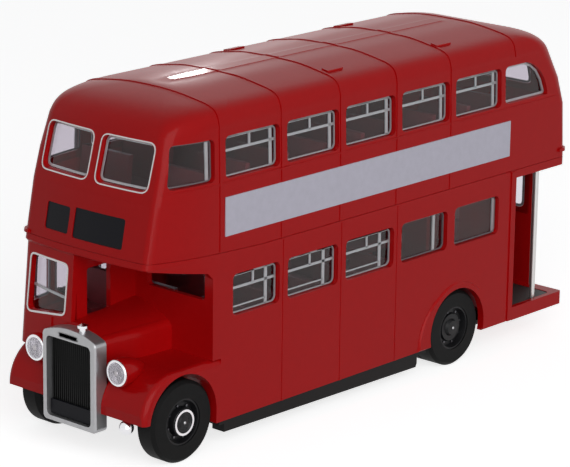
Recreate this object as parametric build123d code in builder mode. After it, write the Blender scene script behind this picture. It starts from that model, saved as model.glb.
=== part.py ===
import os
from math import cos, radians, sin

from build123d import *

# A 1:76 die-cast model of a front-engined half-cab double-deck bus with an open rear platform.
# Frame: millimetres, +X forward, +Y to the nearside (the platform side), +Z up.
# The origin is on the ground, below the centre of the model.

# Overall sizes
nose_x = 52.5
tail_x = -52.5
wall = 0.9
glass = 0.5
skirt_z = 4.65

# The upright walls of both decks, as plan outlines at rising heights.
# z: height, nose: foremost x, bow: how far the nose corners lie behind it, corner_y: y of those
# corners, half: half width, quarter: length of the curved quarter panel, tail: rearmost x,
# nose_r and tail_r: corner radii in plan
wall_sections = [
    # z, nose, bow, corner_y, half, quarter, tail, nose_r, tail_r
    (skirt_z, 51.55, 0.9, 13.9, 15.05, 15.95, -52.15, 1.7, 1.2),
    (30.9, 49.6, 0.9, 13.2, 15.05, 14.0, -52.15, 1.7, 1.2),
    (31.4, 50.0, 0.9, 13.3, 15.05, 14.4, -52.15, 1.6, 1.2),
    (40.8, 48.1, 0.9, 13.35, 15.00, 12.5, -52.1, 1.6, 1.9),
    (45.5, 46.8, 0.9, 13.2, 14.88, 11.2, -51.2, 1.6, 2.9),
    (50.7, 45.4, 0.9, 12.6, 14.72, 10.0, -48.9, 2.6, 4.0),
]
# The roof dome goes on from the last of them. lean: 1 where the skin stands upright, 0 where it
# lies flat, which is the direction that its thickness is taken in
dome_sections = [
    # z, nose, bow, corner_y, half, quarter, tail, nose_r, tail_r, lean
    (50.7, 45.4, 0.9, 12.6, 14.72, 10.0, -48.9, 2.6, 4.0, 1.0),
    (52.3, 44.4, 1.0, 12.4, 14.55, 10.0, -47.6, 3.0, 4.3, 0.95),
    (53.4, 43.1, 1.1, 11.8, 14.05, 10.0, -46.0, 3.6, 4.8, 0.75),
    (54.1, 41.6, 1.3, 10.7, 13.10, 10.0, -44.2, 4.2, 5.2, 0.45),
    (54.6, 39.8, 1.4, 8.9, 11.20, 10.0, -42.2, 4.3, 5.2, 0.2),
    (55.1, 37.2, 1.2, 6.2, 8.20, 9.0, -40.0, 3.4, 4.4, 0.1),
    (55.5, 34.0, 0.7, 3.0, 4.30, 8.0, -37.2, 1.6, 2.4, 0.05),
    (55.65, 30.5, 0.2, 0.8, 1.20, 6.0, -34.5, 0.3, 0.5, 0.0),
]

# The joint between the two castings is level, and rises a little over the front bay
seam_z = 31.4
seam_rise_x = 26.0
seam_nose_z = 32.5

# Window bays: the upper deck has five alike a side, the lower deck's first is shorter
bay_pitch = 13.8
upper_window_front = 33.74
upper_window_length = 12.13
upper_sill = 43.0
upper_head = 49.6
lower_window_front = 19.6
lower_window_length = 11.88
lower_sill = 21.05
lower_head = 27.7
window_corner = 0.9
pillar_x = [34.85 - bay_pitch * bay for bay in range(5)]
lower_pillar_x = (20.55, 6.75, -7.05)
rib_width = 0.5
rib_height = 0.13
rear_rib_x = -37.5
door_post_x = -37.4
gutter_z = 32.35
gutter_height = 0.6
gutter_depth = 0.35

# Wheels and axles
wheel_r = 6.5
front_axle_x = 42.5
rear_axle_x = -23.0
tyre_width = 3.8
twin_width = 7.9
tyre_outer_y = 14.6
rim_r = 3.7
axle_r = 0.8
axle_half = 12.0
axle_clearance = 0.06
arch_r = 7.1

# Bulkhead, cab and platform
bulkhead_x = 36.5
cab_wall_y = -1.6
partition_x = -38.4
doorway_half = 3.6
platform_edge_y = 8.8
platform_top = 6.8
platform_bottom = 4.5
platform_head = 29.9
canopy_rear_z = 29.0
canopy_nose_z = 31.25
wing_top = 14.9
wing_rear_x = 34.7
wing_inner_y = 5.85
radiator_back = 50.05

# Floors and base
lower_floor_top = 9.4
upper_floor_top = 33.0
floor_thickness = 0.9
base_bottom = 3.9
base_top = 4.65
seat_pitch = 9.0
seat_inner_y = 2.9
seat_width = 10.3

os.makedirs("parts", exist_ok=True)


def save(part, name):
    """Labels one finished piece and writes its file."""
    part.label = name
    export_step(part, f"parts/{name}.step")


def draw_plan(section, inset=0.0):
    """Draws one plan outline of the body, made smaller all round by inset."""
    z, nose, bow, corner_y, half, quarter, tail, nose_r, tail_r = section[:9]
    quarter_x = nose - quarter
    corner_x = nose - bow - inset
    side = half - inset
    corner = corner_y - inset * 0.9
    with BuildSketch(Plane.XY.offset(z)) as plan:
        with BuildLine():
            near = Line((tail + inset, side), (quarter_x, side))
            near_quarter = TangentArc(near @ 1, (corner_x, corner), tangent=near % 1)
            ThreePointArc(near_quarter @ 1, (nose - inset, 0), (corner_x, -corner))
            far = Line((tail + inset, -side), (quarter_x, -side))
            TangentArc(far @ 1, (corner_x, -corner), tangent=far % 1)
            Line(near @ 0, far @ 0)
        make_face()
        fillet(plan.vertices().group_by(Axis.X)[0], max(tail_r - inset * 0.7, 0.25))
        fillet(plan.vertices().group_by(Axis.X)[-1], max(nose_r - inset * 0.7, 0.25))
    return plan.sketch


def wall_block(inset=0.0):
    """The space inside one skin of the upright walls, up to the roof dome."""
    with BuildPart() as block:
        loft([draw_plan(section, inset) for section in wall_sections], ruled=True)
    return block.part


def dome_block(inset=0.0):
    """The space inside one skin of the roof dome."""
    outlines = []
    for section in dome_sections:
        lean = section[9]
        drop = inset * (1 - lean**2) ** 0.5
        lowered = (section[0] - drop,) + section[1:]
        outlines.append(draw_plan(lowered, inset * lean))
    with BuildPart() as block:
        loft(outlines)
    return block.part


def seam_wedge(top):
    """Everything above the joint between the castings, up to the height top."""
    with BuildPart() as wedge:
        with BuildSketch(Plane.XZ):
            with BuildLine():
                Polyline(
                    (-60, seam_z),
                    (seam_rise_x, seam_z),
                    (50, seam_nose_z),
                    (60, seam_nose_z),
                    (60, top),
                    (-60, top),
                    close=True,
                )
            make_face()
        extrude(amount=30, both=True)
    return wedge.part


def side_cutter(boxes, radius):
    """Rounded openings through both sides, from rows of front x, rear x, sill and head."""
    with BuildPart() as cutter:
        with BuildSketch(Plane.XZ):
            for front, rear, sill, head in boxes:
                with Locations(((front + rear) / 2, (sill + head) / 2)):
                    RectangleRounded(front - rear, head - sill, radius)
        extrude(amount=30, both=True)
    return cutter.part


def box_between(low, high):
    """A plain box from its lowest to its highest corner, for cutting and trimming."""
    size = [b - a for a, b in zip(low, high)]
    centre = [(a + b) / 2 for a, b in zip(low, high)]
    with BuildPart() as piece:
        with Locations(tuple(centre)):
            Box(*size)
    return piece.part


outer_walls = wall_block()
inner_walls = wall_block(wall)
glass_walls = wall_block(wall + glass)
inner_dome = dome_block(wall)

upper_windows = [
    (
        upper_window_front - bay_pitch * bay,
        upper_window_front - bay_pitch * bay - upper_window_length,
        upper_sill,
        upper_head,
    )
    for bay in range(5)
]
lower_windows = [(32.1, 21.5, lower_sill, lower_head)] + [
    (
        lower_window_front - bay_pitch * bay,
        lower_window_front - bay_pitch * bay - lower_window_length,
        lower_sill,
        lower_head,
    )
    for bay in range(4)
]

# The front quarter windows lean back with the nose
with BuildPart() as quarter_window_cutter:
    with BuildSketch(Plane.XZ):
        with BuildLine():
            Polyline((36.1, 43.0), (45.2, 43.0), (44.0, 49.6), (36.1, 49.6), close=True)
        make_face()
    extrude(amount=30, both=True)
    fillet(quarter_window_cutter.edges().filter_by(Axis.Y), window_corner)

# The rear quarter windows have one big curved corner
with BuildPart() as rear_quarter_cutter:
    with BuildSketch(Plane.XZ):
        with BuildLine():
            sill = Line((-34.7, 43.2), (-46.3, 43.2))
            back = Line(sill @ 1, (-46.3, 43.7))
            curve = ThreePointArc(back @ 1, (-44.1, 47.7), (-40.4, 49.6))
            head = Line(curve @ 1, (-34.7, 49.6))
            Line(head @ 1, sill @ 0)
        make_face()
    extrude(amount=30, both=True)
    fillet(
        rear_quarter_cutter.edges().filter_by(Axis.Y).group_by(Axis.X)[-1],
        window_corner,
    )

with BuildPart() as nose_window_cutter:
    with BuildSketch(Plane.YZ.offset(40)):
        for side in (-1, 1):
            with Locations((side * 6.1, 46.2)):
                RectangleRounded(10.3, 7.0, 1.3)
    extrude(amount=20)

with BuildPart() as tail_window_cutter:
    with BuildSketch(Plane.YZ.offset(-56)):
        for side in (-1, 1):
            with Locations((side * 4.3, 46.0)):
                RectangleRounded(7.8, 5.8, 1.1)
    extrude(amount=12)

# Boxes in the front panel for the route number and the destination
blind_boxes = [
    # y centre, z centre, width, height
    (-5.9, 36.0, 5.3, 4.1),
    (3.0, 36.0, 10.4, 4.6),
]
with BuildPart() as blind_cutter:
    with BuildSketch(Plane.YZ.offset(42)):
        for y, z, width, height in blind_boxes:
            with Locations((y, z)):
                RectangleRounded(width, height, 0.4)
    extrude(amount=12)

# Raised ribs cover the panel joints, up both sides and over the roof
with BuildPart() as rib_slabs:
    with Locations([(x, 0, 30) for x in pillar_x]):
        Box(rib_width, 40, 60)
    with Locations((rear_rib_x, 0, 62)):
        Box(rib_width, 40, 22)
with BuildPart() as ribs:
    add(wall_block(-rib_height))
    add(dome_block(-rib_height))
    add(rib_slabs.part, mode=Mode.INTERSECT)
    add(box_between((-60, -20, upper_head - 20), (60, 20, 70)), mode=Mode.INTERSECT)

# A gutter bead runs along the offside and across the rear
with BuildPart() as gutter:
    add(wall_block(-gutter_depth))
    add(
        box_between((-60, -20, gutter_z), (60, 20, gutter_z + gutter_height)),
        mode=Mode.INTERSECT,
    )
    add(box_between((-50, -12, 0), (60, 20, 60)), mode=Mode.SUBTRACT)

# Four low ventilators stand on the shoulders of the roof
vent_x = (4.8, -22.3)
vent_length = 3.6
vent_height = 0.3
with BuildPart() as vents:
    with Locations([(x, side * 10.6, 54) for x in vent_x for side in (-1, 1)]):
        Box(vent_length, 1.3, 6)
    add(dome_block(-vent_height), mode=Mode.INTERSECT)

# The upper deck: sides, roof, bowed front and rounded rear in one casting
with BuildPart() as upper_body:
    add(outer_walls)
    add(dome_block())
    add(ribs.part)
    add(gutter.part)
    add(vents.part)
    add(inner_walls, mode=Mode.SUBTRACT)
    add(inner_dome, mode=Mode.SUBTRACT)
    add(side_cutter(upper_windows, window_corner), mode=Mode.SUBTRACT)
    add(quarter_window_cutter.part, mode=Mode.SUBTRACT)
    add(rear_quarter_cutter.part, mode=Mode.SUBTRACT)
    add(nose_window_cutter.part, mode=Mode.SUBTRACT)
    add(tail_window_cutter.part, mode=Mode.SUBTRACT)
    add(blind_cutter.part, mode=Mode.SUBTRACT)
    add(seam_wedge(70), mode=Mode.INTERSECT)
save(upper_body.part, "upper_body")

# Blank black screens fill the two boxes in the front panel
with BuildPart() as blinds:
    add(wall_block(0.15))
    add(inner_walls, mode=Mode.SUBTRACT)
    add(blind_cutter.part, mode=Mode.INTERSECT)
save(blinds.part, "destination_screens")

# Plain panels along both sides below the upper windows
with BuildPart() as advert_panels:
    for side in (-1, 1):
        with BuildSketch(Plane.XZ.offset(-side * 15.05)):
            with Locations((-1.0, 37.2)):
                Rectangle(70.0, 6.15)
        extrude(amount=-side * 0.16)
    add(outer_walls, mode=Mode.SUBTRACT)
    add(ribs.part, mode=Mode.SUBTRACT)
save(advert_panels.part, "side_panels")

# One clear moulding lines the upper deck behind its windows
with BuildPart() as upper_glazing:
    add(inner_walls)
    add(glass_walls, mode=Mode.SUBTRACT)
    add(box_between((-60, -20, 42.0), (60, 20, 50.6)), mode=Mode.INTERSECT)
save(upper_glazing.part, "upper_glazing")

# Windows of the lower deck, the cab and the rear wall
with BuildPart() as windscreen_cutter:
    with BuildSketch(Plane.YZ.offset(44)):
        with BuildLine():
            Polyline((-11.9, 20.3), (-3.2, 21.5), (-2.9, 29.2), (-11.4, 29.3), close=True)
        make_face()
    extrude(amount=10)
    fillet(windscreen_cutter.edges().filter_by(Axis.X), window_corner)
with BuildPart() as cab_side_cutter:
    with BuildSketch(Plane.XZ.offset(10)):
        with Locations((40.0, 24.7)):
            RectangleRounded(4.4, 7.6, window_corner)
        with BuildLine():
            Polyline((43.2, 21.0), (47.4, 21.0), (47.0, 28.5), (43.2, 28.5), close=True)
        make_face()
    extrude(amount=10)
with BuildPart() as cab_wall_cutter:
    with BuildSketch(Plane.XZ.offset(1)):
        with Locations((44.4, 24.6)):
            RectangleRounded(5.0, 7.6, 0.5)
    extrude(amount=3)
with BuildPart() as rear_wall_cutter:
    with BuildSketch(Plane.YZ.offset(-56)):
        with Locations((4.0, 24.0)):
            RectangleRounded(6.4, 6.8, 1.2)
    extrude(amount=8)
with BuildPart() as bulkhead_cutter:
    with BuildSketch(Plane.YZ.offset(bulkhead_x - 3)):
        with Locations((7.2, 26.4)):
            RectangleRounded(12.2, 4.4, 0.6)
        with Locations((-7.4, 25.0)):
            RectangleRounded(8.0, 5.6, 0.6)
    extrude(amount=6)

# Space in front of the bulkhead on the nearside, under the canopy
with BuildPart() as canopy_space:
    with BuildSketch(Plane.XZ.offset(-cab_wall_y)):
        with BuildLine():
            Polyline(
                (bulkhead_x, 0),
                (bulkhead_x, canopy_rear_z - 1.1),
                (bulkhead_x + 1.1, canopy_rear_z),
                (49.0, canopy_nose_z),
                (56, canopy_nose_z),
                (56, 0),
                close=True,
            )
        make_face()
    extrude(amount=-20)

# Thin lines on the lower deck: ribs at the pillars, a post beside the platform, and the groove
# where the upper deck sits on the lower one
with BuildPart() as lower_rib_slabs:
    with Locations([(x, 0, 17.7) for x in lower_pillar_x]):
        Box(0.4, 40, 26.6)
with BuildPart() as lower_ribs:
    add(wall_block(-0.08))
    add(lower_rib_slabs.part, mode=Mode.INTERSECT)
with BuildPart() as door_posts:
    add(wall_block(-0.2))
    add(
        box_between((door_post_x - 0.5, -20, skirt_z), (door_post_x + 0.5, 20, 31.1)),
        mode=Mode.INTERSECT,
    )
with BuildPart() as seam_groove:
    add(wall_block(-0.3))
    add(wall_block(0.15), mode=Mode.SUBTRACT)
    add(seam_wedge(70).moved(Location((0, 0, -0.15))), mode=Mode.INTERSECT)

# The lower deck: sides, front bulkhead, cab, rear wall and canopy band in one casting
with BuildPart() as lower_body:
    add(outer_walls)
    add(lower_ribs.part)
    add(door_posts.part)
    add(inner_walls, mode=Mode.SUBTRACT)
    add(canopy_space.part, mode=Mode.SUBTRACT)
    add(box_between((bulkhead_x - wall, -14.15, 9.4), (bulkhead_x, 14.15, 31.3)))
    add(box_between((bulkhead_x, cab_wall_y - wall, wing_top), (49.1, cab_wall_y, 31.3)))
    add(box_between((partition_x, doorway_half, platform_top), (partition_x + wall, 14.15, 31.3)))
    add(box_between((partition_x, -14.15, platform_top), (partition_x + wall, -doorway_half, 31.3)))
    add(box_between((partition_x, -14.15, platform_top), (partition_x + wall, 14.15, 9.4)))
    add(side_cutter(lower_windows, window_corner), mode=Mode.SUBTRACT)
    add(windscreen_cutter.part, mode=Mode.SUBTRACT)
    add(cab_side_cutter.part, mode=Mode.SUBTRACT)
    add(cab_wall_cutter.part, mode=Mode.SUBTRACT)
    add(rear_wall_cutter.part, mode=Mode.SUBTRACT)
    add(bulkhead_cutter.part, mode=Mode.SUBTRACT)
    # The platform is open at the nearside, and the wings take the place of the front skirts
    add(box_between((-60, platform_edge_y, 0), (partition_x, 20, platform_head)), mode=Mode.SUBTRACT)
    add(box_between((-60, -20, 0), (partition_x, 20, platform_top)), mode=Mode.SUBTRACT)
    add(box_between((wing_rear_x, -20, 0), (60, -wing_inner_y, wing_top)), mode=Mode.SUBTRACT)
    add(box_between((wing_rear_x, wing_inner_y, 0), (60, 20, wing_top)), mode=Mode.SUBTRACT)
    add(box_between((bulkhead_x, -20, 0), (60, cab_wall_y, wing_top)), mode=Mode.SUBTRACT)
    with Locations(Plane(origin=(rear_axle_x, 0, wheel_r), z_dir=(0, 1, 0))):
        Cylinder(arch_r, 40, mode=Mode.SUBTRACT)
    add(seam_wedge(70), mode=Mode.SUBTRACT)
    add(seam_groove.part, mode=Mode.SUBTRACT)
    add(box_between((radiator_back, -6.0, 0), (60, cab_wall_y, 20.5)), mode=Mode.SUBTRACT)
    # Flared lips stand out round the rear arches
    for side in (-1, 1):
        with BuildSketch(Plane.XZ.offset(-side * 15.05)):
            with BuildLine():
                front_lip = ThreePointArc((-13.0, skirt_z), (-14.6, 9.9), (-18.4, 13.2))
                top_lip = ThreePointArc(front_lip @ 1, (-24.0, 14.7), (-28.9, 12.2))
                rear_lip = ThreePointArc(top_lip @ 1, (-30.5, 8.6), (-30.8, skirt_z))
                Line(rear_lip @ 1, front_lip @ 0)
            make_face()
        extrude(amount=-side * 0.3, taper=40)
    with Locations(Plane(origin=(rear_axle_x, 0, wheel_r), z_dir=(0, 1, 0))):
        Cylinder(arch_r, 40, mode=Mode.SUBTRACT)
save(lower_body.part, "lower_body")

# Glazing of the lower deck: strips behind the side windows, with panes at both ends
with BuildPart() as lower_glazing:
    add(inner_walls)
    add(glass_walls, mode=Mode.SUBTRACT)
    add(box_between((-37.4, -20, 20.0), (35.5, 20, 28.8)), mode=Mode.INTERSECT)
save(lower_glazing.part, "lower_glazing")
with BuildPart() as cab_glazing:
    add(inner_walls)
    add(glass_walls, mode=Mode.SUBTRACT)
    add(box_between((bulkhead_x, -20, 19.4), (56, cab_wall_y - wall, 30.2)), mode=Mode.INTERSECT)
save(cab_glazing.part, "cab_glazing")
with BuildPart() as bulkhead_glazing:
    for low_y, high_y in ((0.2, 13.5), (-12.4, -2.6)):
        add(
            box_between(
                (bulkhead_x - wall - glass, low_y, 21.4),
                (bulkhead_x - wall, high_y, 29.4),
            )
        )
save(bulkhead_glazing.part, "bulkhead_glazing")
with BuildPart() as rear_glazing:
    add(inner_walls)
    add(glass_walls, mode=Mode.SUBTRACT)
    add(box_between((-60, 0.2, 19.8), (-50, 8.2, 28.2)), mode=Mode.INTERSECT)
save(rear_glazing.part, "rear_glazing")

# Bonnet: narrow at the radiator, wider and a little higher at the bulkhead
bonnet_sections = [
    # x, shoulder y, shoulder z, crown y, crown z, top z at the cab wall
    (bulkhead_x, 6.3, 18.2, 5.2, 19.7, 21.9),
    (50.05, 5.3, 18.4, 4.2, 19.5, 20.6),
]
bonnet_bottom = wing_top


def draw_bonnet(row, inset=0.0):
    """Draws one cross-section of the bonnet, made smaller by inset."""
    x, shoulder_y, shoulder_z, crown_y, crown_z, top_z = row
    left = cab_wall_y + inset
    with BuildSketch(Plane.YZ.offset(x)) as outline:
        with BuildLine():
            Line((left, bonnet_bottom - 2 * inset), (left, top_z - inset))
            ThreePointArc(
                (left, top_z - inset),
                ((left + crown_y) / 2, (top_z + crown_z) / 2 + 0.35 - inset),
                (crown_y - inset * 0.6, crown_z - inset),
            )
            ThreePointArc(
                (crown_y - inset * 0.6, crown_z - inset),
                (shoulder_y - 0.35 - inset * 0.8, (shoulder_z + crown_z) / 2 + 0.25 - inset * 0.8),
                (shoulder_y - inset, shoulder_z),
            )
            Line((shoulder_y - inset, shoulder_z), (shoulder_y - inset, bonnet_bottom - 2 * inset))
            Line(
                (shoulder_y - inset, bonnet_bottom - 2 * inset),
                (left, bonnet_bottom - 2 * inset),
            )
        make_face()
    return outline.sketch


with BuildPart() as bonnet:
    loft([draw_bonnet(row) for row in bonnet_sections], ruled=True)
    loft([draw_bonnet(row, wall) for row in bonnet_sections], ruled=True, mode=Mode.SUBTRACT)
save(bonnet.part, "bonnet")

# Front wings: mudguards with a solid front, a headlamp pod and a valance beside the radiator
headlamp_y = 8.9
headlamp_z = 15.0
headlamp_r = 2.05
headlamp_x = 50.75
wing_nose_x = 51.3
wing_half = 15.05
wing_low = 7.9


with BuildPart() as cab_space:
    add(outer_walls)
    add(box_between((0, -20, wing_top), (60, cab_wall_y, seam_z)), mode=Mode.INTERSECT)


def headlamp_pod():
    """A bullet-shaped pod behind a headlamp, about the X axis through the origin."""
    with BuildPart() as pod:
        with BuildSketch(Plane.XZ):
            with BuildLine():
                Line((0, 0), (0, headlamp_r + 0.15))
                ThreePointArc((0, headlamp_r + 0.15), (-2.9, 1.8), (-5.2, 0.5))
                Polyline((-5.2, 0.5), (-5.2, 0), (0, 0))
            make_face()
        revolve(axis=Axis.X)
    return pod.part


def headlamp_disc():
    """The lamp itself: a round disc with a bevelled rim, let into the front of its pod."""
    with BuildPart() as disc:
        with BuildSketch(Plane.XZ):
            with BuildLine():
                Polyline(
                    (0.35, 0),
                    (0.35, headlamp_r - 0.45),
                    (0.15, headlamp_r),
                    (-0.1, headlamp_r),
                    (-0.1, 0),
                    close=True,
                )
            make_face()
        revolve(axis=Axis.X)
    return disc.part


def wing(side):
    """One front wing, on the nearside when side is 1."""
    with BuildPart() as piece:
        with BuildSketch(Plane.XZ.offset(-side * wing_inner_y)):
            with BuildLine():
                Line((wing_rear_x, base_top), (wing_rear_x, wing_top))
                Line((wing_rear_x, wing_top), (44.5, wing_top))
                ThreePointArc((44.5, wing_top), (49.4, 12.9), (wing_nose_x, 9.4))
                Line((wing_nose_x, 9.4), (wing_nose_x, wing_low))
                Line((wing_nose_x, wing_low), (50.0, wing_low))
                ThreePointArc((50.0, wing_low), (42.8, 14.2), (35.6, 7.0))
                Line((35.6, 7.0), (35.6, base_top))
                Line((35.6, base_top), (wing_rear_x, base_top))
            make_face()
        extrude(amount=-side * (wing_half - wing_inner_y))
        outer_face = piece.faces().filter_by(Axis.Y).sort_by(Axis.Y)[-1 if side > 0 else 0]
        front_edges = outer_face.edges().filter_by(lambda e: e.center().X > 45.5)
        fillet(front_edges.filter_by(lambda e: (e @ 0.5).Z > 8.8 and (e @ 0.5).X > 47.5), 1.1)
        with Locations((headlamp_x, side * headlamp_y, headlamp_z)):
            add(headlamp_pod())
            add(headlamp_disc(), mode=Mode.SUBTRACT)
        if side < 0:
            add(cab_space.part, mode=Mode.SUBTRACT)
    return piece.part


for side, name in ((1, "nearside_wing"), (-1, "offside_wing")):
    save(wing(side), name)
for side, name in ((1, "nearside_headlamp"), (-1, "offside_headlamp")):
    with BuildPart() as headlamp:
        with Locations((headlamp_x, side * headlamp_y, headlamp_z)):
            add(headlamp_disc())
    save(headlamp.part, name)

# Round lamp low down on the nearside
with BuildPart() as fog_lamp:
    with Locations((50.6, 10.6, 6.7)):
        Sphere(1.15)
    with Locations((50.6, 10.6, 7.6)):
        Box(0.5, 0.5, 0.8)
    add(box_between((49, 8, wing_low), (53, 13, 9.5)), mode=Mode.SUBTRACT)
save(fog_lamp.part, "fog_lamp")

# Radiator: a deep frame with a rounded header, a slatted grille, a filler cap and a blank plate
radiator_half = 5.8
grille_half = 4.8
grille_low = 5.6
grille_high = 18.4
slat_count = 21
slat_width = 0.16
with BuildPart() as radiator_shell:
    with BuildSketch(Plane.YZ.offset(radiator_back)) as radiator_outline:
        with BuildLine():
            Polyline(
                (-radiator_half, 19.0),
                (-radiator_half, 4.75),
                (radiator_half, 4.75),
                (radiator_half, 19.0),
            )
            ThreePointArc((radiator_half, 19.0), (0, 20.2), (-radiator_half, 19.0))
        make_face()
        fillet(radiator_outline.vertices(), 0.8)
    extrude(amount=nose_x - radiator_back)
    fillet(radiator_shell.faces().sort_by(Axis.X)[-1].outer_wire().edges(), 0.4)
    with BuildSketch(Plane.YZ.offset(radiator_back)):
        with Locations((0, (grille_low + grille_high) / 2)):
            RectangleRounded(2 * grille_half, grille_high - grille_low, 0.8)
    extrude(amount=nose_x - radiator_back, mode=Mode.SUBTRACT)
save(radiator_shell.part, "radiator_shell")
with BuildPart() as radiator_grille:
    with BuildSketch(Plane.YZ.offset(radiator_back + 0.2)):
        with Locations((0, (grille_low + grille_high) / 2)):
            RectangleRounded(2 * grille_half, grille_high - grille_low, 0.8)
    extrude(amount=0.8)
    with BuildSketch(Plane.YZ.offset(radiator_back + 1.0)):
        with Locations((0, (grille_low + grille_high) / 2)):
            with GridLocations(2 * grille_half / (slat_count + 1), 1, slat_count, 1):
                Rectangle(slat_width, grille_high - grille_low - 0.5)
    extrude(amount=0.45)
save(radiator_grille.part, "radiator_grille")
with BuildPart() as filler_cap:
    with BuildSketch(Plane.XZ.offset(-1.9)):
        with BuildLine():
            Polyline(
                (51.2, 20.0),
                (51.75, 20.0),
                (51.75, 20.7),
                (52.05, 20.7),
                (52.05, 21.1),
                (51.2, 21.5),
                close=True,
            )
        make_face()
    revolve(axis=Axis((51.2, 1.9, 0), (0, 0, 1)))
    add(radiator_shell.part, mode=Mode.SUBTRACT)
save(filler_cap.part, "filler_cap")
with BuildPart() as front_plate:
    with Locations((radiator_back + 1.65, 0, 6.95)):
        Box(0.4, 2 * grille_half - 0.6, 2.3)
save(front_plate.part, "front_plate")

# Upper saloon: a floor tray with a stairwell, and two rows of double seats
stair_x = -44.6
stair_y = -7.9
stair_r = 5.8
with BuildPart() as upper_floor:
    add(inner_walls)
    add(
        box_between((-60, -20, upper_floor_top - floor_thickness), (60, 20, upper_floor_top)),
        mode=Mode.INTERSECT,
    )
    with Locations((stair_x, stair_y, upper_floor_top)):
        Cylinder(stair_r + 0.15, 4, mode=Mode.SUBTRACT)
save(upper_floor.part, "upper_floor")


def seat_rows(floor_z, nearside_x, offside_x):
    """Double seats facing forward, from the floor height and the x of each seat's front."""
    with BuildPart() as seats:
        for side, rows in ((1, nearside_x), (-1, offside_x)):
            for x in rows:
                with BuildSketch(Plane.XZ.offset(-side * seat_inner_y)):
                    with BuildLine():
                        Polyline(
                            (x - 1.0, floor_z),
                            (x - 1.0, floor_z + 3.6),
                            (x, floor_z + 3.9),
                            (x, floor_z + 5.4),
                            (x - 4.6, floor_z + 5.0),
                            (x - 5.5, floor_z + 11.0),
                            (x - 6.4, floor_z + 11.0),
                            (x - 5.6, floor_z + 3.6),
                            (x - 4.6, floor_z),
                            close=True,
                        )
                    make_face()
                extrude(amount=-side * seat_width)
    return seats.part


upper_rows = [42.0 - seat_pitch * row for row in range(9)]
upper_offside_rows = [42.0 - seat_pitch * row for row in range(8)]
save(seat_rows(upper_floor_top, upper_rows, upper_offside_rows), "upper_seats")

# Lower saloon: a floor with half-round boxes over the rear wheels, seats, and two side benches
wheel_box_r = 8.0
wheel_box_y = 5.5
with BuildPart() as lower_floor:
    add(inner_walls)
    add(
        box_between(
            (partition_x + wall, -20, lower_floor_top - floor_thickness),
            (bulkhead_x - wall, 20, lower_floor_top),
        ),
        mode=Mode.INTERSECT,
    )
    for side in (-1, 1):
        with BuildSketch(Plane.XZ.offset(-side * wheel_box_y)):
            with Locations((rear_axle_x, wheel_r)):
                Circle(wheel_box_r)
        extrude(amount=-side * (14.15 - wheel_box_y))
    for side in (-1, 1):
        with BuildSketch(Plane.XZ.offset(-side * (wheel_box_y + 0.6))):
            with Locations((rear_axle_x, wheel_r)):
                Circle(arch_r + 0.1)
        extrude(amount=-side * 9, mode=Mode.SUBTRACT)
        low, high = sorted((side * wing_inner_y, side * 20))
        add(box_between((wing_rear_x, low, 0), (60, high, 20)), mode=Mode.SUBTRACT)
    add(
        box_between((-60, -20, -5), (60, 20, lower_floor_top - floor_thickness)),
        mode=Mode.SUBTRACT,
    )
save(lower_floor.part, "lower_floor")
lower_rows = [32.0 - seat_pitch * row for row in range(5)]
with BuildPart() as lower_seats:
    add(seat_rows(lower_floor_top, lower_rows, lower_rows))
    for side in (-1, 1):
        with BuildSketch(Plane.YZ.offset(-35.5)):
            with BuildLine():
                Polyline(
                    (side * 7.2, wheel_r + wheel_box_r),
                    (side * 7.2, 16.2),
                    (side * 12.3, 16.2),
                    (side * 12.7, 20.6),
                    (side * 13.5, 20.6),
                    (side * 13.5, wheel_r + wheel_box_r),
                    close=True,
                )
            make_face()
        extrude(amount=21.5)
        for x in (-34.8, -14.9):
            add(
                box_between(
                    (x - 0.4, min(side * 7.6, side * 13.2), lower_floor_top),
                    (x + 0.4, max(side * 7.6, side * 13.2), wheel_r + wheel_box_r),
                )
            )
save(lower_seats.part, "lower_seats")

# Winding stairs from the platform up to the upper deck, round a post
step_count = 8
step_turn = 27.0
step_rise = (upper_floor_top - platform_top) / step_count
with BuildPart() as staircase:
    with Locations((stair_x, stair_y, (platform_top + upper_floor_top) / 2)):
        Cylinder(0.9, upper_floor_top - platform_top)
    for step in range(step_count):
        start = 70 + step_turn * step
        top = platform_top + step_rise * (step + 1)
        with BuildSketch(Plane.XY.offset(top - step_rise - 0.5 if step else platform_top)):
            with BuildLine():
                rim = [
                    (
                        stair_x + stair_r * cos(radians(start + turn)),
                        stair_y + stair_r * sin(radians(start + turn)),
                    )
                    for turn in (0, step_turn / 2, step_turn)
                ]
                Line((stair_x, stair_y), rim[0])
                ThreePointArc(*rim)
                Line(rim[2], (stair_x, stair_y))
            make_face()
        extrude(amount=step_rise + 0.5 if step else step_rise)
save(staircase.part, "staircase")

# Rear platform: a red tray with a dark mat, a pole at its open corner and a rail on the wall
mat_depth = 0.35
platform_rim = 0.8
with BuildPart() as platform_outline:
    with BuildSketch(Plane.XY.offset(platform_bottom)):
        with Locations(((tail_x + partition_x) / 2, 0)):
            Rectangle(partition_x - tail_x, 30.1)
    extrude(amount=platform_top - platform_bottom)
    fillet(platform_outline.edges().filter_by(Axis.Z).group_by(Axis.X)[0], 0.5)
with BuildPart() as platform_mat:
    with BuildSketch(Plane.XY.offset(platform_top - mat_depth)):
        with Locations((-44.5, 6.0)):
            RectangleRounded(11.6, 16.4, 1.2)
    extrude(amount=mat_depth - 0.1)
with BuildPart() as platform:
    add(platform_outline.part)
    with BuildSketch(Plane.XY.offset(platform_top - mat_depth)):
        with Locations((-44.5, 6.0)):
            RectangleRounded(11.6, 16.4, 1.2)
    extrude(amount=mat_depth, mode=Mode.SUBTRACT)
save(platform.part, "platform")
save(platform_mat.part, "platform_mat")
pole_x = -45.9
pole_y = 13.6
pole_r = 0.45
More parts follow.
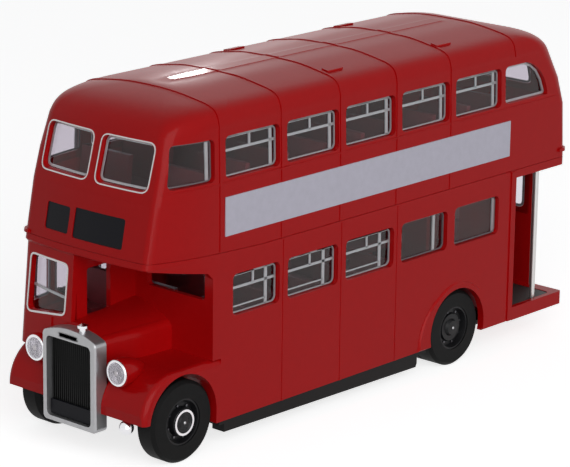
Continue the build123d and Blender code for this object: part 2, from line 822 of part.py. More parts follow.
with BuildPart() as platform_pole:
    with Locations((pole_x, pole_y, (platform_top - 0.1 + 32.1) / 2)):
        Cylinder(pole_r, 32.1 - platform_top + 0.1)
save(platform_pole.part, "platform_pole")
with BuildPart() as rear_rail:
    add(
        box_between(
            (-52.1, platform_edge_y, platform_top),
            (-51.3, platform_edge_y + 0.4, platform_head),
        )
    )
save(rear_rail.part, "rear_rail")

# Cab: a floor over the offside wing, a seat, a steering column and its wheel
with BuildPart() as cab_floor:
    add(inner_walls)
    add(
        box_between((bulkhead_x, -20, wing_top), (60, cab_wall_y - wall, wing_top + 0.8)),
        mode=Mode.INTERSECT,
    )
save(cab_floor.part, "cab_floor")
with BuildPart() as driver_seat:
    with BuildSketch(Plane.XZ.offset(5.2)):
        with BuildLine():
            Polyline(
                (41.6, wing_top + 0.8),
                (42.6, 18.8),
                (42.6, 20.2),
                (38.8, 19.8),
                (38.0, 25.0),
                (37.1, 25.0),
                (37.9, wing_top + 0.8),
                close=True,
            )
        make_face()
    extrude(amount=5.6)
save(driver_seat.part, "driver_seat")
steer_tilt = 32
wheel_hub = (43.9, -8.0, 22.0)
column_plane = Plane(origin=wheel_hub, z_dir=(-sin(radians(steer_tilt)), 0, cos(radians(steer_tilt))))
with BuildPart() as steering_wheel:
    with BuildSketch(column_plane):
        Circle(2.6)
        Circle(2.15, mode=Mode.SUBTRACT)
        with PolarLocations(1.25, 3):
            Rectangle(2.3, 0.35)
        Circle(0.5)
    extrude(amount=0.4)
    with BuildSketch(column_plane):
        Circle(0.35)
    extrude(amount=-9)
    add(box_between((36, -14, 0), (60, -2, wing_top + 0.8)), mode=Mode.SUBTRACT)
save(steering_wheel.part, "steering_wheel")

# Base: a plate cut away at the wheels, with axle bearings and two blind screw bosses
screw_x = (27.0, -7.0)
screw_r = 1.1
screw_boss_r = 2.2
bearing_y = (2.6, 4.4)
with BuildPart() as baseplate:
    add(box_between((partition_x, -11.0, base_bottom), (34.6, 11.0, base_top)))
    add(box_between((rear_axle_x + 7.4, -14.6, base_bottom), (34.6, 14.6, base_top)))
    add(box_between((33.0, -4.4, base_top), (44.6, 4.4, base_top + 0.9)))
    for side in (-1, 1):
        low, high = sorted((side * 6.4, side * 15))
        add(
            box_between((rear_axle_x - 7.4, low, 0), (rear_axle_x + 7.4, high, 10)),
            mode=Mode.SUBTRACT,
        )
    for axle_x in (front_axle_x, rear_axle_x):
        for side in (-1, 1):
            low, high = sorted((side * bearing_y[0], side * bearing_y[1]))
            add(box_between((axle_x - 1.7, low, base_top), (axle_x + 1.7, high, 8.2)))
        with Locations(Plane(origin=(axle_x, 0, wheel_r), z_dir=(0, 1, 0))):
            Cylinder(axle_r + axle_clearance, 30, mode=Mode.SUBTRACT)
    for x in screw_x:
        with Locations((x, 0, (base_top + 8.2) / 2)):
            Cylinder(screw_boss_r, 8.2 - base_top)
        with Locations((x, 0, base_bottom + 1.85)):
            Cylinder(screw_r, 3.7, mode=Mode.SUBTRACT)
save(baseplate.part, "baseplate")

# Rails along the skirts between the wheels, a little deeper at the rear
with BuildPart() as side_rails:
    for side in (-1, 1):
        with BuildSketch(Plane.XZ.offset(-side * 11.8)):
            with BuildLine():
                Polyline(
                    (33.1, base_bottom),
                    (33.1, 2.4),
                    (-13.4, 1.8),
                    (-13.7, 2.4),
                    (-13.7, base_bottom),
                    close=True,
                )
            make_face()
        extrude(amount=-side * 2.5)
save(side_rails.part, "side_rails")

# Mechanical parts moulded below the base: sump, gearbox, shaft, differential, tank and silencer
with BuildPart() as drive_line:
    add(box_between((34.8, -2.6, 3.2), (41.0, 2.6, base_top)))
    add(box_between((8.0, -2.4, 2.5), (18.0, 1.6, base_bottom)))
    with Locations(Plane(origin=(-3.0, -3.2, base_bottom - 0.4), z_dir=(1, 0, 0))):
        Cylinder(0.7, 27)
    with Locations((-22.5, -3.2, 3.1)):
        Box(5.0, 5.0, 1.6)
    with Locations((-1.0, 8.0, 3.0)):
        Box(12.0, 4.6, 1.8)
    with Locations((3.0, -9.0, 3.1)):
        Box(13.0, 4.6, 1.6)
    add(box_between((-60, -20, base_bottom), (34.6, 20, 20)), mode=Mode.SUBTRACT)
save(drive_line.part, "drive_line")

# Wheels: each axle, its rims and its tyres turn as one


def turned(profile):
    """A ring or disc turned from its half profile, as points of radius and distance outwards."""
    with BuildPart() as piece:
        with BuildSketch(Plane.XY):
            with BuildLine():
                Polyline(*profile, close=True)
            make_face()
        revolve(axis=Axis.Y)
    return piece.part


# Distances are from the inner face of the tyre, outwards
front_tyre = turned(
    [
        # radius, distance
        (rim_r, 0),
        (wheel_r - 0.5, 0),
        (wheel_r, 0.55),
        (wheel_r, tyre_width - 0.55),
        (wheel_r - 0.5, tyre_width),
        (rim_r, tyre_width),
    ]
)
# The twin tyres at the rear are one moulding with a groove
twin_tyre = turned(
    [
        (rim_r, 0),
        (wheel_r - 0.5, 0),
        (wheel_r, 0.55),
        (wheel_r, twin_width / 2 - 0.25),
        (wheel_r - 0.5, twin_width / 2),
        (wheel_r, twin_width / 2 + 0.25),
        (wheel_r, twin_width - 0.55),
        (wheel_r - 0.5, twin_width),
        (rim_r, twin_width),
    ]
)
front_rim = turned(
    [
        (0, 0.4),
        (rim_r, 0.4),
        (rim_r, tyre_width - 0.15),
        (rim_r - 0.3, tyre_width - 0.15),
        (3.05, tyre_width - 0.95),
        (2.4, tyre_width - 0.8),
        (2.15, tyre_width + 0.1),
        (1.2, tyre_width + 0.1),
        (0.9, tyre_width + 0.3),
        (0, tyre_width + 0.35),
    ]
)
rear_rim = turned(
    [
        (0, 0.4),
        (rim_r, 0.4),
        (rim_r, twin_width - 0.15),
        (rim_r - 0.3, twin_width - 0.15),
        (3.1, twin_width - 1.1),
        (2.5, twin_width - 1.1),
        (2.3, twin_width - 0.7),
        (1.5, twin_width - 0.7),
        (1.2, twin_width - 0.25),
        (0, twin_width - 0.2),
    ]
)
wheel_sets = [
    # end, axle x, tyre width, tyre, its name, rim
    ("front", front_axle_x, tyre_width, front_tyre, "tyre", front_rim),
    ("rear", rear_axle_x, twin_width, twin_tyre, "tyres", rear_rim),
]
for end, axle_x, width, tyre, tyre_name, rim in wheel_sets:
    with BuildPart() as axle:
        with Locations(Plane(origin=(axle_x, 0, wheel_r), z_dir=(0, 1, 0))):
            Cylinder(axle_r, 2 * axle_half)
    save(axle.part, f"{end}_axle")
    for hand, side, turn in (("nearside", 1, 0), ("offside", -1, 180)):
        place = Location((axle_x, side * (tyre_outer_y - width), wheel_r), (0, 0, turn))
        save(tyre.moved(place), f"{end}_{hand}_{tyre_name}")
        with BuildPart() as rim_on_axle:
            add(rim.moved(place))
            add(axle.part, mode=Mode.SUBTRACT)
        save(rim_on_axle.part, f"{end}_{hand}_rim")

# Bright guard rings stand round the front hubs
with BuildPart() as nut_rings:
    for side in (-1, 1):
        with BuildSketch(Plane.XZ.offset(-side * (tyre_outer_y + 0.1))):
            with Locations((front_axle_x, wheel_r)):
                Circle(2.05)
                Circle(1.7, mode=Mode.SUBTRACT)
        extrude(amount=-side * 0.25)
save(nut_rings.part, "nut_guard_rings")
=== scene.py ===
import math

import bpy
import bmesh
from mathutils import Matrix, Vector
from mathutils.bvhtree import BVHTree


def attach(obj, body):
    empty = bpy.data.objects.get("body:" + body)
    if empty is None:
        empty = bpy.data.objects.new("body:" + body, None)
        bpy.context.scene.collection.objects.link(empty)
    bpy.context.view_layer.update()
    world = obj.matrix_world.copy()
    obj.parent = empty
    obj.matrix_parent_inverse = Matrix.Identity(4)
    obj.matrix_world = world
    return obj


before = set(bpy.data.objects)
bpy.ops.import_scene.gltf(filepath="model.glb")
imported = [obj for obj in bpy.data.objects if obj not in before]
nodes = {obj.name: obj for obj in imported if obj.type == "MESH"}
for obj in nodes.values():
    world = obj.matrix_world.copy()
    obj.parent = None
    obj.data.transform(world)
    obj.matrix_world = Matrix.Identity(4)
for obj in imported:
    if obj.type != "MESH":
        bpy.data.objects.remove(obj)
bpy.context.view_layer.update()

# Lengths below are in millimetres; the scene is in metres.
MM = 0.001

# Surface values shared by the materials
GRAIN_SCALE = 900.0
PAINT_IOR = 1.5
COAT_ROUGHNESS = 0.09
CLEAR_ROUGHNESS = 0.02
CLEAR_IOR = 1.45
CLEAR_TINT = (0.86, 0.84, 0.87, 1)
CLEAR_WAVE_SCALE = 60.0
CLEAR_WAVE_DEPTH = 0.000002

# How far strips and blocks are sunk into the skin that carries them
SINK = 0.05


# Materials

def new_material(name):
    """An empty node material and its tree, with a Principled shader joined to the output."""
    mat = bpy.data.materials.new(name)
    mat.use_nodes = True
    tree = mat.node_tree
    tree.nodes.clear()
    out = tree.nodes.new("ShaderNodeOutputMaterial")
    shader = tree.nodes.new("ShaderNodeBsdfPrincipled")
    tree.links.new(shader.outputs["BSDF"], out.inputs["Surface"])
    return mat, tree, shader


def finish_material(name, color, rough, metallic=0.0, coat=0.0, spec=0.5, bump=0.0, vary=0.0):
    """A solid colour with a fine grain: bump in metres, vary as a share of the colour."""
    mat, tree, shader = new_material(name)
    shader.inputs["Base Color"].default_value = (*color, 1)
    shader.inputs["Roughness"].default_value = rough
    shader.inputs["Metallic"].default_value = metallic
    shader.inputs["Coat Weight"].default_value = coat
    shader.inputs["Coat Roughness"].default_value = COAT_ROUGHNESS
    shader.inputs["Specular IOR Level"].default_value = spec
    shader.inputs["IOR"].default_value = PAINT_IOR
    coords = tree.nodes.new("ShaderNodeTexCoord")
    noise = tree.nodes.new("ShaderNodeTexNoise")
    noise.inputs["Scale"].default_value = GRAIN_SCALE
    noise.inputs["Detail"].default_value = 3.0
    tree.links.new(coords.outputs["Object"], noise.inputs["Vector"])
    if bump:
        bumper = tree.nodes.new("ShaderNodeBump")
        bumper.inputs["Distance"].default_value = bump
        bumper.inputs["Strength"].default_value = 1.0
        tree.links.new(noise.outputs["Fac"], bumper.inputs["Height"])
        tree.links.new(bumper.outputs["Normal"], shader.inputs["Normal"])
    if vary:
        ramp = tree.nodes.new("ShaderNodeValToRGB")
        low = [c * (1 - vary) for c in color]
        high = [min(1.0, c * (1 + vary)) for c in color]
        ramp.color_ramp.elements[0].position = 0.3
        ramp.color_ramp.elements[0].color = (*low, 1)
        ramp.color_ramp.elements[1].position = 0.7
        ramp.color_ramp.elements[1].color = (*high, 1)
        tree.links.new(noise.outputs["Fac"], ramp.inputs["Fac"])
        tree.links.new(ramp.outputs["Color"], shader.inputs["Base Color"])
    return mat


def clear_plastic(name):
    """Thin clear plastic: see-through, with surface reflections that grow at a slant."""
    mat, tree, shader = new_material(name)
    tree.nodes.remove(shader)
    out = tree.nodes["Material Output"]
    clear = tree.nodes.new("ShaderNodeBsdfTransparent")
    clear.inputs["Color"].default_value = CLEAR_TINT
    gloss = tree.nodes.new("ShaderNodeBsdfGlossy")
    gloss.inputs["Roughness"].default_value = CLEAR_ROUGHNESS
    fresnel = tree.nodes.new("ShaderNodeFresnel")
    fresnel.inputs["IOR"].default_value = CLEAR_IOR
    noise = tree.nodes.new("ShaderNodeTexNoise")
    noise.inputs["Scale"].default_value = CLEAR_WAVE_SCALE
    bumper = tree.nodes.new("ShaderNodeBump")
    bumper.inputs["Distance"].default_value = CLEAR_WAVE_DEPTH
    tree.links.new(noise.outputs["Fac"], bumper.inputs["Height"])
    tree.links.new(bumper.outputs["Normal"], gloss.inputs["Normal"])
    # Only the face towards the eye reflects, or the far face would mirror at a slant
    geometry = tree.nodes.new("ShaderNodeNewGeometry")
    front = tree.nodes.new("ShaderNodeMath")
    front.operation = "SUBTRACT"
    front.inputs[0].default_value = 1.0
    share = tree.nodes.new("ShaderNodeMath")
    share.operation = "MULTIPLY"
    tree.links.new(geometry.outputs["Backfacing"], front.inputs[1])
    tree.links.new(fresnel.outputs["Fac"], share.inputs[0])
    tree.links.new(front.outputs["Value"], share.inputs[1])
    mix = tree.nodes.new("ShaderNodeMixShader")
    tree.links.new(share.outputs["Value"], mix.inputs["Fac"])
    tree.links.new(clear.outputs["BSDF"], mix.inputs[1])
    tree.links.new(gloss.outputs["BSDF"], mix.inputs[2])
    tree.links.new(mix.outputs["Shader"], out.inputs["Surface"])
    return mat


red = finish_material(
    "red_gloss", (0.46, 0.003, 0.004), 0.35, coat=0.14, spec=0.06, bump=0.000002, vary=0.02
)
white = finish_material("panel_white", (0.60, 0.58, 0.68), 0.3, bump=0.000002, vary=0.03)
screen = finish_material("screen_black", (0.008, 0.008, 0.011), 0.35, spec=0.1, bump=0.000002)
print_silver = finish_material("window_print", (0.46, 0.46, 0.48), 0.35, metallic=0.3, vary=0.06)
seat_red = finish_material("seat_plastic", (0.22, 0.022, 0.03), 0.5, bump=0.00001, vary=0.1)
base_black = finish_material(
    "base_plastic", (0.007, 0.006, 0.006), 0.4, spec=0.12, bump=0.000006, vary=0.15
)
mat_black = finish_material("mat_rubber", (0.015, 0.012, 0.012), 0.6, bump=0.00001, vary=0.15)
tyre_black = finish_material(
    "tyre_rubber", (0.007, 0.007, 0.007), 0.6, spec=0.1, bump=0.00001, vary=0.12
)
rim_black = finish_material(
    "rim_plastic", (0.008, 0.008, 0.009), 0.35, spec=0.2, bump=0.000004, vary=0.15
)
grille_black = finish_material(
    "grille_plastic", (0.006, 0.006, 0.006), 0.5, spec=0.2, bump=0.00001
)
silver = finish_material(
    "silver_paint", (0.42, 0.42, 0.43), 0.33, metallic=0.75, bump=0.000004, vary=0.05
)
bright = finish_material("bright_metal", (0.78, 0.78, 0.80), 0.16, metallic=1.0, bump=0.000003)
steel = finish_material("axle_steel", (0.45, 0.45, 0.46), 0.3, metallic=1.0, bump=0.000005)
pole_steel = finish_material("pole_steel", (0.62, 0.61, 0.60), 0.28, metallic=0.8, bump=0.000003)
bright_trim = finish_material("bright_trim", (0.62, 0.60, 0.60), 0.25, metallic=0.6, bump=0.000002)
frame_grey = finish_material("frame_grey", (0.16, 0.13, 0.14), 0.4, vary=0.05)
nut_dark = finish_material("nut_metal", (0.10, 0.10, 0.11), 0.25, metallic=0.9, vary=0.05)
glazing = clear_plastic("clear_glazing")
lens_clear = clear_plastic("clear_lens")

for names, mat in (
    (("upper_body", "lower_body", "bonnet", "nearside_wing", "offside_wing", "platform"), red),
    (("side_panels",), white),
    (("destination_screens", "front_plate"), screen),
    (
        (
            "upper_floor",
            "upper_seats",
            "lower_floor",
            "lower_seats",
            "staircase",
            "cab_floor",
            "driver_seat",
        ),
        seat_red,
    ),
    (("baseplate", "side_rails", "drive_line", "steering_wheel"), base_black),
    (("platform_mat",), mat_black),
    (
        (
            "front_nearside_tyre",
            "front_offside_tyre",
            "rear_nearside_tyres",
            "rear_offside_tyres",
        ),
        tyre_black,
    ),
    (
        (
            "front_nearside_rim",
            "front_offside_rim",
            "rear_nearside_rim",
            "rear_offside_rim",
        ),
        rim_black,
    ),
    (("radiator_grille",), grille_black),
    (("radiator_shell",), silver),
    (
        (
            "filler_cap",
            "nearside_headlamp",
            "offside_headlamp",
            "fog_lamp",
            "nut_guard_rings",
        ),
        bright,
    ),
    (("front_axle", "rear_axle"), steel),
    (("platform_pole", "rear_rail"), pole_steel),
    (
        (
            "upper_glazing",
            "lower_glazing",
            "cab_glazing",
            "bulkhead_glazing",
            "rear_glazing",
        ),
        glazing,
    ),
):
    for name in names:
        nodes[name].data.materials.clear()
        nodes[name].data.materials.append(mat)


# Mesh helpers

def mesh_object(name, verts, faces, mat, body="body", smooth=False):
    """A mesh piece from points in millimetres, riding on a body."""
    mesh = bpy.data.meshes.new(name)
    mesh.from_pydata([tuple(c * MM for c in v) for v in verts], [], faces)
    mesh.validate()
    bm = bmesh.new()
    bm.from_mesh(mesh)
    bmesh.ops.recalc_face_normals(bm, faces=bm.faces)
    bm.to_mesh(mesh)
    bm.free()
    mesh.materials.append(mat)
    if smooth:
        for face in mesh.polygons:
            face.use_smooth = True
    obj = bpy.data.objects.new(name, mesh)
    bpy.context.scene.collection.objects.link(obj)
    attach(obj, body)
    return obj


trees = {}


def surface_tree(node):
    """A ray-casting tree of a CAD node's mesh, in metres."""
    if node not in trees:
        mesh = nodes[node].data
        points = [v.co.copy() for v in mesh.vertices]
        trees[node] = BVHTree.FromPolygons(points, [tuple(p.vertices) for p in mesh.polygons])
    return trees[node]


def project(node, axis, side, a, b, lift):
    """The lifted point on a node's skin met from outside, from side +1 or -1 of axis X or Y."""
    if axis == "Y":
        start, direction = Vector((a, side * 30, b)), Vector((0, -side, 0))
    else:
        start, direction = Vector((side * 70, a, b)), Vector((-side, 0, 0))
    hit = surface_tree(node).ray_cast(start * MM, direction)
    if hit[0] is None:
        return None
    point = hit[0] / MM
    return point - direction * lift


def ribbon(name, node, axis, side, paths, width, height, mat):
    """Raised strips along 2-D paths, laid on a node's skin. A path is (points, closed)."""
    verts, faces = [], []
    for points, closed in paths:
        count = len(points)
        rings = []
        for i, p in enumerate(points):
            before = points[i - 1] if (closed or i) else p
            after = points[(i + 1) % count] if (closed or i < count - 1) else p
            t1 = Vector((p[0] - before[0], p[1] - before[1]))
            t2 = Vector((after[0] - p[0], after[1] - p[1]))
            t1 = t1.normalized() if t1.length else t2.normalized()
            t2 = t2.normalized() if t2.length else t1
            tangent = (t1 + t2).normalized()
            miter = min(1.5, 1 / max(0.3, tangent.dot(t1)))
            normal = Vector((-tangent.y, tangent.x)) * (width / 2 * miter)
            ring = []
            for a, b, lift in (
                (p[0] + normal.x, p[1] + normal.y, -SINK),
                (p[0] + normal.x, p[1] + normal.y, height),
                (p[0] - normal.x, p[1] - normal.y, height),
                (p[0] - normal.x, p[1] - normal.y, -SINK),
            ):
                ring.append(project(node, axis, side, a, b, lift))
            rings.append(ring)
        start = len(verts)
        if any(q is None for ring in rings for q in ring):
            continue
        for ring in rings:
            verts.extend(tuple(q) for q in ring)
        spans = count if closed else count - 1
        for i in range(spans):
            j = (i + 1) % count
            for k in range(4):
                m = (k + 1) % 4
                here, there = start + 4 * i, start + 4 * j
                faces.append((here + k, here + m, there + m, there + k))
        if not closed:
            faces.append(tuple(start + k for k in range(4)))
            faces.append(tuple(start + 4 * (count - 1) + k for k in range(4)))
    return mesh_object(name, verts, faces, mat)


def line(start, end, step=1.5):
    """Evenly spaced points from start to end."""
    length = math.hypot(end[0] - start[0], end[1] - start[1])
    parts = max(1, round(length / step))
    return [
        (start[0] + (end[0] - start[0]) * i / parts, start[1] + (end[1] - start[1]) * i / parts)
        for i in range(parts + 1)
    ]


def rounded(low_a, high_a, low_b, high_b, radius, steps=5):
    """A closed rounded rectangle as a list of points."""
    corners = (
        (high_a - radius, high_b - radius, 0),
        (low_a + radius, high_b - radius, 90),
        (low_a + radius, low_b + radius, 180),
        (high_a - radius, low_b + radius, 270),
    )
    outline = []
    for a, b, start in corners:
        arc = [
            (
                a + radius * math.cos(math.radians(start + 90 * i / steps)),
                b + radius * math.sin(math.radians(start + 90 * i / steps)),
            )
            for i in range(steps + 1)
        ]
        if outline:
            outline.extend(line(outline[-1], arc[0])[1:-1])
        outline.extend(arc)
    outline.extend(line(outline[-1], outline[0])[1:-1])
    return outline


def loop_inset(points, distance):
    """A convex loop moved inwards by a distance (outwards where it is negative)."""
    count = len(points)
    area = sum(
        points[i][0] * points[(i + 1) % count][1] - points[(i + 1) % count][0] * points[i][1]
        for i in range(count)
    )
    turn = 1 if area > 0 else -1
    moved = []
    for i in range(count):
        here = Vector(points[i])
        before = (here - Vector(points[i - 1])).normalized()
        after = (Vector(points[(i + 1) % count]) - here).normalized()
        n1 = Vector((-before.y, before.x)) * turn
        n2 = Vector((-after.y, after.x)) * turn
        bisector = (n1 + n2).normalized()
        reach = distance / max(0.2, bisector.dot(n1))
        moved.append(tuple(here + bisector * reach))
    return moved


def soft_loop(points, radius, steps=5):
    """A closed loop with rounded corners and even steps along its sides."""
    count = len(points)
    outline = []
    for i in range(count):
        here = Vector(points[i])
        before = (Vector(points[i - 1]) - here).normalized()
        after = (Vector(points[(i + 1) % count]) - here).normalized()
        half = math.acos(max(-1.0, min(1.0, before.dot(after)))) / 2
        reach = min(radius / math.tan(half), 2.5)
        start = here + before * reach
        end = here + after * reach
        arc = []
        for k in range(steps + 1):
            t = k / steps
            point = start * (1 - t) ** 2 + here * (2 * t * (1 - t)) + end * t**2
            arc.append(tuple(point))
        if outline:
            outline.extend(line(outline[-1], arc[0])[1:-1])
        outline.extend(arc)
    outline.extend(line(outline[-1], outline[0])[1:-1])
    return outline


def box_loop(low_a, high_a, low_b, high_b):
    """The four corners of a rectangle."""
    return [(low_a, low_b), (high_a, low_b), (high_a, high_b), (low_a, high_b)]


# Window frames are raised from the panes: a vent in the top part, a thick post near the rear

bay_pitch = 13.8
frame_height = 0.16
trim_height = 0.2
ring_height = 0.1
edge_width = 0.22
bar_width = 0.4
post_width = 0.62
plain_post_width = 0.6
tail_edge_width = 0.35
vent_share = 0.37
corner = 0.8

upper_side = [(33.74 - bay_pitch * bay, 21.61 - bay_pitch * bay) for bay in range(5)]
lower_side = [(32.1, 21.5), (19.6, 7.72), (5.8, -6.08)]

for side, hand in ((1, "nearside"), (-1, "offside")):
    for node, windows, sill, head, post_share in (
        # glazing node, windows as (front x, rear x), sill z, head z, post's share of the width
        ("upper_glazing", upper_side, 43.0, 49.6, 0.885),
        ("lower_glazing", lower_side, 21.05, 27.7, 0.77),
    ):
        deck = node.split("_")[0]
        thin, bars, posts = [], [], []
        for front, rear in windows:
            low_a, high_a = rear + 0.3, front - 0.3
            low_b, high_b = sill + 0.25, head - 0.4
            bar = head - vent_share * (head - sill)
            post = front - post_share * (front - rear)
            middle = (front + rear) / 2
            thin.append((rounded(low_a, high_a, low_b, high_b, corner), True))
            if deck == "lower":
                thin.append((line((high_a, sill + 1.2), (post, sill + 1.2)), False))
            bars.append((line((low_a + 0.5, high_b), (high_a - 0.5, high_b)), False))
            bars.append((line((high_a, bar), (high_a, high_b - 0.6)), False))
            bars.append((line((low_a, bar), (high_a, bar)), False))
            bars.append((line((middle, bar), (middle, high_b)), False))
            posts.append((line((post, low_b), (post, high_b)), False))
        for part, paths, width in (
            ("edges", thin, edge_width),
            ("bars", bars, bar_width),
            ("posts", posts, post_width),
        ):
            name = f"{hand}_{deck}_window_{part}"
            ribbon(name, node, "Y", side, paths, width, frame_height, print_silver)

    # The two plain windows at the rear of the lower deck
    plain, uprights = [], []
    for front, rear, post in ((-8.0, -19.88, -17.1), (-21.8, -33.68, -33.0)):
        plain.append((rounded(rear + 0.25, front - 0.25, 21.3, 27.45, corner), True))
        uprights.append((line((post, 21.3), (post, 27.4)), False))
    name = f"{hand}_rear_lower_window"
    ribbon(
        f"{name}_edges", "lower_glazing", "Y", side, plain, edge_width, trim_height, frame_grey
    )
    ribbon(
        f"{name}_posts",
        "lower_glazing",
        "Y",
        side,
        uprights,
        plain_post_width,
        trim_height,
        print_silver,
    )

    # Quarter windows at both ends of the upper deck
    quarter = [(36.1, 43.0), (45.2, 43.0), (44.0, 49.6), (36.1, 49.6)]
    edge = [(soft_loop(loop_inset(quarter, 0.25), 0.7), True)]
    post = [(line((37.1, 43.2), (37.1, 49.4)), False)]
    name = f"{hand}_quarter_window"
    ribbon(
        f"{name}_edge", "upper_glazing", "Y", side, edge, edge_width, trim_height, frame_grey
    )
    ribbon(
        f"{name}_post",
        "upper_glazing",
        "Y",
        side,
        post,
        plain_post_width,
        frame_height,
        print_silver,
    )
    curved = [(-46.3, 43.2), (-34.7, 43.2), (-34.7, 49.6), (-40.4, 49.6)]
    curved += [(-42.4, 48.9), (-44.1, 47.7), (-45.4, 45.9), (-46.3, 43.7)]
    edge = [(soft_loop(loop_inset(curved, 0.25), 0.4, 3), True)]
    name = f"{hand}_rear_quarter_edge"
    ribbon(name, "upper_glazing", "Y", side, edge, bar_width, trim_height, print_silver)

# Nose windows have a thin bright ring on the skin and a frame behind the opening
rings, inner = [], []
for side in (-1, 1):
    low, high = sorted((side * 0.95, side * 11.25))
    opening = box_loop(low, high, 42.7, 49.7)
    rings.append((soft_loop(loop_inset(opening, -0.16), 1.35), True))
    inner.append((soft_loop(loop_inset(opening, 0.32), 0.9), True))
ribbon("nose_window_rings", "upper_body", "X", 1, rings, 0.2, ring_height, bright_trim)
ribbon("nose_window_frames", "upper_glazing", "X", 1, inner, 0.3, frame_height, print_silver)

# The windscreen has a ring too, and a bar where its upper half opens
screen_loop = [(-11.9, 20.3), (-3.2, 21.5), (-2.9, 29.2), (-11.4, 29.3)]
ring = [(soft_loop(loop_inset(screen_loop, -0.16), 1.0), True)]
ribbon("windscreen_ring", "lower_body", "X", 1, ring, 0.3, ring_height, bright_trim)
bar = [(line((-11.5, 24.3), (-3.2, 23.7)), False)]
ribbon("windscreen_bar", "cab_glazing", "X", 1, bar, bar_width, frame_height, print_silver)

# Cab windows on the offside, the upper deck's two rear windows and the lower deck's one
cab_paths = []
for opening in (
    box_loop(37.8, 42.2, 20.9, 28.5),
    [(43.2, 21.0), (47.4, 21.0), (47.0, 28.5), (43.2, 28.5)],
):
    cab_paths.append((soft_loop(loop_inset(opening, 0.3), 0.7), True))
ribbon(
    "cab_side_window_edges",
    "cab_glazing",
    "Y",
    -1,
    cab_paths,
    tail_edge_width,
    trim_height,
    print_silver,
)
tail_paths = []
for side in (-1, 1):
    low, high = sorted((side * 0.4, side * 8.2))
    tail_paths.append((soft_loop(loop_inset(box_loop(low, high, 43.1, 48.9), 0.3), 0.9), True))
ribbon(
    "tail_window_edges",
    "upper_glazing",
    "X",
    -1,
    tail_paths,
    tail_edge_width,
    trim_height,
    print_silver,
)
rear_pane = [(soft_loop(loop_inset(box_loop(0.8, 7.2, 20.6, 27.4), 0.3), 1.0), True)]
ribbon(
    "rear_pane_edge", "rear_glazing", "X", -1, rear_pane, bar_width, trim_height, print_silver
)

# A thin bead under the upper windows
for side, hand in ((1, "nearside"), (-1, "offside")):
    bead = [(line((-49.0, 42.45), (46.0, 42.45), 2.5), False)]
    ribbon(f"{hand}_waist_bead", "upper_body", "Y", side, bead, 0.28, ring_height, red)


# Round pieces and small blocks

def placed(points, origin, along, out):
    """Points of a local frame (along, up, out) as points in millimetres."""
    along, out, origin = Vector(along), Vector(out), Vector(origin)
    rise = out.cross(along)
    return [tuple(origin + along * a + rise * b + out * c) for a, b, c in points]


def turned_piece(name, profile, origin, along, out, mat, body="body", steps=24):
    """A turned piece from (radius, height) pairs about the axis out."""
    verts, faces = [], []
    for radius, height in profile:
        for k in range(steps):
            angle = math.tau * k / steps
            verts.append((radius * math.cos(angle), radius * math.sin(angle), height))
    for row in range(len(profile) - 1):
        for k in range(steps):
            m = (k + 1) % steps
            here, there = row * steps, (row + 1) * steps
            faces.append((here + k, here + m, there + m, there + k))
    faces.append(tuple(range(steps)))
    faces.append(tuple((len(profile) - 1) * steps + k for k in range(steps)))
    return mesh_object(name, placed(verts, origin, along, out), faces, mat, body, smooth=True)


def block(name, origin, along, out, size, bevel, mat):
    """A small bevelled block of size (along, up, out) that stands on a surface."""
    a, b, c = size[0] / 2, size[1] / 2, size[2]
    verts = []
    for inset, height in ((0, -SINK), (0, c - bevel), (bevel, c)):
        for x, y in ((1, 1), (-1, 1), (-1, -1), (1, -1)):
            verts.append((x * (a - inset), y * (b - inset), height))
    faces = [(0, 1, 2, 3), (8, 9, 10, 11)]
    for row in (0, 4):
        for k in range(4):
            m = (k + 1) % 4
            faces.append((row + k, row + m, row + 4 + m, row + 4 + k))
    return mesh_object(name, placed(verts, origin, along, out), faces, mat)


# Radiator: a blank badge plate in a bright edge, and side knobs

AHEAD = (1, 0, 0)
ACROSS = (0, 1, 0)

radiator_face = 52.5
badge_z = 19.08
badge = soft_loop(box_loop(-2.1, 2.1, 18.72, 19.45), 0.25)
ribbon("badge_edge", "radiator_shell", "X", 1, [(badge, True)], 0.16, 0.0, silver)
badge_at = (radiator_face - 0.06, 0, badge_z)
block("badge_plate", badge_at, ACROSS, AHEAD, (3.9, 0.62, 0.06), 0.02, screen)
for side, hand in ((1, "nearside"), (-1, "offside")):
    knob = [(0.34, -0.25), (0.34, -0.1), (0.22, 0.1), (0.1, 0.17)]
    knob_at = (radiator_face - 0.2, side * 5.35, 11.1)
    turned_piece(f"{hand}_radiator_knob", knob, knob_at, ACROSS, AHEAD, bright, steps=14)

# Headlamps: a rim, a domed lens and a bulb holder behind it

lamp_x, lamp_y, lamp_z = 51.1, 8.9, 15.0
for side, hand in ((1, "nearside"), (-1, "offside")):
    centre = (lamp_x, side * lamp_y, lamp_z)
    for part, profile, mat, steps in (
        # part, (radius, height) pairs, material, steps round
        (
            "rim",
            [(2.06, -0.3), (2.12, -0.1), (1.98, 0.06), (1.78, 0.08), (1.72, 0.0)],
            bright,
            36,
        ),
        (
            "lens",
            [(1.74, 0.0), (1.5, 0.14), (1.1, 0.26), (0.6, 0.33), (0.2, 0.35)],
            lens_clear,
            36,
        ),
        ("bulb", [(0.42, 0.0), (0.38, 0.09), (0.2, 0.14)], pole_steel, 16),
    ):
        name = f"{hand}_headlamp_{part}"
        turned_piece(name, profile, centre, ACROSS, AHEAD, mat, steps=steps)

# Wheels: nuts round the hubs and a small axle end

